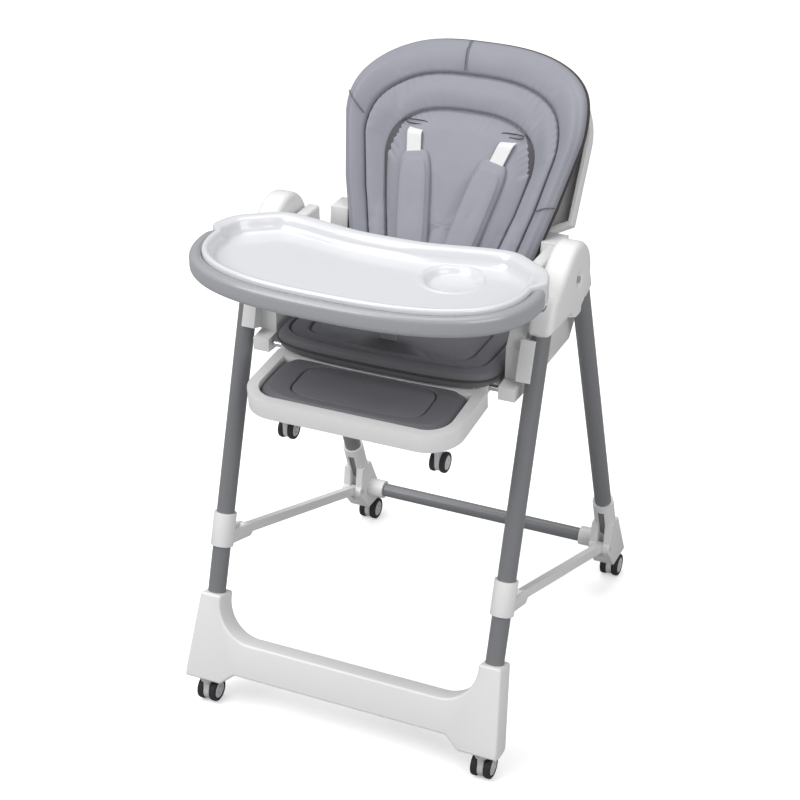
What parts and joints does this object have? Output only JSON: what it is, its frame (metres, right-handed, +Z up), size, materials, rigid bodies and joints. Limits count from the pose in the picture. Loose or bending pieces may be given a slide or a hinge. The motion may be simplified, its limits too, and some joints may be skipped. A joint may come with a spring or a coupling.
{
  "type": "folding baby high chair",
  "caption": "Folding baby high chair with reclining padded backrest, sliding tray, tilting footrest, height-adjustable seat and swivel casters.",
  "frame": {"origin": "on the floor at the centre of the chair's bounding box", "axes": "+Z up, -Y is the front where the tray is, +X is the left hand of a seated child"},
  "size_m": [0.568, 0.74, 1.0265],
  "materials": {
    "white_shell": "moulded satin",
    "tube_grey": "satin powder coat",
    "steel": "turned",
    "pad_fabric": "soft coated fabric",
    "dark_webbing": "woven webbing",
    "white_webbing": "woven webbing",
    "tray_grey": "moulded semi-gloss",
    "tray_white": "moulded gloss",
    "control_grey": "moulded satin",
    "caster_grey": "moulded satin",
    "tyre_rubber": "moulded"
  },
  "bodies": {
    "front_frame": {"front_foot_bar": "white_shell", "front_leg_left": "tube_grey", "front_leg_right": "tube_grey", "shoulder_cover_left": "white_shell", "shoulder_cover_right": "white_shell", "fold_pivot_pins": "steel"},
    "rear_frame": {"rear_hub_left": "white_shell", "rear_hub_right": "white_shell", "rear_leg_left": "tube_grey", "rear_leg_right": "tube_grey", "rear_foot_left": "white_shell", "rear_foot_right": "white_shell", "rear_cross_tube": "tube_grey", "link_pins": "steel"},
    "seat": {"seat_pan": "white_shell", "seat_side_left": "white_shell", "seat_side_right": "white_shell", "armrest_left": "white_shell", "armrest_right": "white_shell", "back_hinge_rod": "steel", "footrest_rod": "steel", "seat_cushion": "pad_fabric", "crotch_strap": "dark_webbing"},
    "backrest": {"back_shell": "white_shell", "back_cushion": "pad_fabric", "harness_strap_left": "white_webbing", "harness_strap_right": "white_webbing", "harness_pad_left": "pad_fabric", "harness_pad_right": "pad_fabric"},
    "recline_lever": {"recline_lever": "control_grey"},
    "footrest": {"footrest_frame": "white_shell", "footrest_cushion": "pad_fabric"},
    "tray": {"tray_base": "tray_grey", "tray_knob_left": "white_shell", "tray_knob_right": "white_shell"},
    "tray_insert": {"tray_insert": "tray_white"},
    "tray_latch": {"tray_latch": "control_grey"},
    "collar_left": {"fold_collar_left": "white_shell"},
    "link_left": {"link_bar_left": "white_shell"},
    "collar_right": {"fold_collar_right": "white_shell"},
    "link_right": {"link_bar_right": "white_shell"},
    "height_button_left": {"height_button_left": "control_grey"},
    "height_button_right": {"height_button_right": "control_grey"},
    "caster_front_left": {"fork_front_left": "caster_grey"},
    "wheels_front_left": {"wheel_front_left": "tyre_rubber"},
    "caster_rear_left": {"fork_rear_left": "caster_grey"},
    "wheels_rear_left": {"wheel_rear_left": "tyre_rubber"},
    "caster_footrest_left": {"fork_footrest_left": "caster_grey"},
    "wheels_footrest_left": {"wheel_footrest_left": "tyre_rubber"},
    "brake_left": {"brake_pedal_left": "caster_grey"},
    "caster_front_right": {"fork_front_right": "caster_grey"},
    "wheels_front_right": {"wheel_front_right": "tyre_rubber"},
    "caster_rear_right": {"fork_rear_right": "caster_grey"},
    "wheels_rear_right": {"wheel_rear_right": "tyre_rubber"},
    "caster_footrest_right": {"fork_footrest_right": "caster_grey"},
    "wheels_footrest_right": {"wheel_footrest_right": "tyre_rubber"},
    "brake_right": {"brake_pedal_right": "caster_grey"}
  },
  "joints": [
    {"name": "fold", "type": "hinge", "parent": "front_frame", "child": "rear_frame", "pos_m": [0, -0.0066, 0.752], "axis": [-1, 0, 0], "range_deg": [0, 22]},
    {"name": "collar_left_slide", "type": "slide", "parent": "front_frame", "child": "collar_left", "axis": [0, 0.304, 0.9527], "range_m": [0, 0.2521]},
    {"name": "link_left_turn", "type": "hinge", "parent": "rear_frame", "child": "link_left", "pos_m": [-0.25, 0.25664, 0.102], "axis": [-1, 0, 0], "range_deg": [0, 36.11]},
    {"name": "collar_right_slide", "type": "slide", "parent": "front_frame", "child": "collar_right", "axis": [0, 0.304, 0.9527], "range_m": [0, 0.2521]},
    {"name": "link_right_turn", "type": "hinge", "parent": "rear_frame", "child": "link_right", "pos_m": [0.25, 0.25664, 0.102], "axis": [-1, 0, 0], "range_deg": [0, 36.11]},
    {"name": "seat_height", "type": "slide", "parent": "front_frame", "child": "seat", "axis": [0, 0.304, 0.9527], "range_m": [-0.2, 0]},
    {"name": "height_button_left_press", "type": "slide", "parent": "seat", "child": "height_button_left", "axis": [1, 0, 0], "range_m": [0, 0.004], "stiffness_N_per_m": 300, "springref_m": -0.004},
    {"name": "height_button_right_press", "type": "slide", "parent": "seat", "child": "height_button_right", "axis": [-1, 0, 0], "range_m": [0, 0.004], "stiffness_N_per_m": 300, "springref_m": -0.004},
    {"name": "recline", "type": "hinge", "parent": "seat", "child": "backrest", "pos_m": [0, 0.073, 0.622], "axis": [-1, 0, 0], "range_deg": [-8, 25]},
    {"name": "recline_lever_squeeze", "type": "hinge", "parent": "backrest", "child": "recline_lever", "pos_m": [0, 0.27969, 0.95046], "axis": [1, 0, 0], "range_deg": [0, 12], "stiffness_Nm_per_rad": 0.4, "springref_deg": -11.46},
    {"name": "footrest_tilt", "type": "hinge", "parent": "seat", "child": "footrest", "pos_m": [0, -0.145, 0.611], "axis": [1, 0, 0], "range_deg": [0, 75]},
    {"name": "tray_reach", "type": "slide", "parent": "seat", "child": "tray", "axis": [0, -1, 0], "range_m": [0, 0.07]},
    {"name": "tray_insert_lift", "type": "slide", "parent": "tray", "child": "tray_insert", "axis": [0, 0, 1], "range_m": [0, 0.06]},
    {"name": "tray_latch_pull", "type": "slide", "parent": "tray", "child": "tray_latch", "axis": [0, -1, 0], "range_m": [0, 0.006], "stiffness_N_per_m": 250, "springref_m": -0.004},
    {"name": "swivel_front_left", "type": "hinge", "parent": "front_frame", "child": "caster_front_left", "pos_m": [-0.25, -0.322, 0], "axis": [0, 0, 1], "continuous": true},
    {"name": "roll_front_left", "type": "hinge", "parent": "caster_front_left", "child": "wheels_front_left", "pos_m": [-0.25, -0.312, 0.021], "axis": [1, 0, 0], "continuous": true},
    {"name": "swivel_rear_left", "type": "hinge", "parent": "rear_frame", "child": "caster_rear_left", "pos_m": [-0.25, 0.324, 0], "axis": [0, 0, 1], "continuous": true},
    {"name": "roll_rear_left", "type": "hinge", "parent": "caster_rear_left", "child": "wheels_rear_left", "pos_m": [-0.25, 0.334, 0.021], "axis": [1, 0, 0], "continuous": true},
    {"name": "swivel_footrest_left", "type": "hinge", "parent": "footrest", "child": "caster_footrest_left", "pos_m": [-0.131, -0.234, 0.492], "axis": [0, 0, 1], "continuous": true},
    {"name": "roll_footrest_left", "type": "hinge", "parent": "caster_footrest_left", "child": "wheels_footrest_left", "pos_m": [-0.131, -0.224, 0.509], "axis": [1, 0, 0], "continuous": true},
    {"name": "brake_left_lift", "type": "hinge", "parent": "caster_rear_left", "child": "brake_left", "pos_m": [-0.25, 0.35, 0.045], "axis": [1, 0, 0], "range_deg": [0, 20]},
    {"name": "swivel_front_right", "type": "hinge", "parent": "front_frame", "child": "caster_front_right", "pos_m": [0.25, -0.322, 0], "axis": [0, 0, 1], "continuous": true},
    {"name": "roll_front_right", "type": "hinge", "parent": "caster_front_right", "child": "wheels_front_right", "pos_m": [0.25, -0.312, 0.021], "axis": [1, 0, 0], "continuous": true},
    {"name": "swivel_rear_right", "type": "hinge", "parent": "rear_frame", "child": "caster_rear_right", "pos_m": [0.25, 0.324, 0], "axis": [0, 0, 1], "continuous": true},
    {"name": "roll_rear_right", "type": "hinge", "parent": "caster_rear_right", "child": "wheels_rear_right", "pos_m": [0.25, 0.334, 0.021], "axis": [1, 0, 0], "continuous": true},
    {"name": "swivel_footrest_right", "type": "hinge", "parent": "footrest", "child": "caster_footrest_right", "pos_m": [0.131, -0.234, 0.492], "axis": [0, 0, 1], "continuous": true},
    {"name": "roll_footrest_right", "type": "hinge", "parent": "caster_footrest_right", "child": "wheels_footrest_right", "pos_m": [0.131, -0.224, 0.509], "axis": [1, 0, 0], "continuous": true},
    {"name": "brake_right_lift", "type": "hinge", "parent": "caster_rear_right", "child": "brake_right", "pos_m": [0.25, 0.35, 0.045], "axis": [1, 0, 0], "range_deg": [0, 20]}
  ],
  "couplings": [
    {"joint": "collar_left_slide", "follows": "fold", "m_per_rad": 0.65633},
    {"joint": "link_left_turn", "follows": "fold", "ratio": 1.6408},
    {"joint": "collar_right_slide", "follows": "fold", "m_per_rad": 0.65633},
    {"joint": "link_right_turn", "follows": "fold", "ratio": 1.6408}
  ]
}
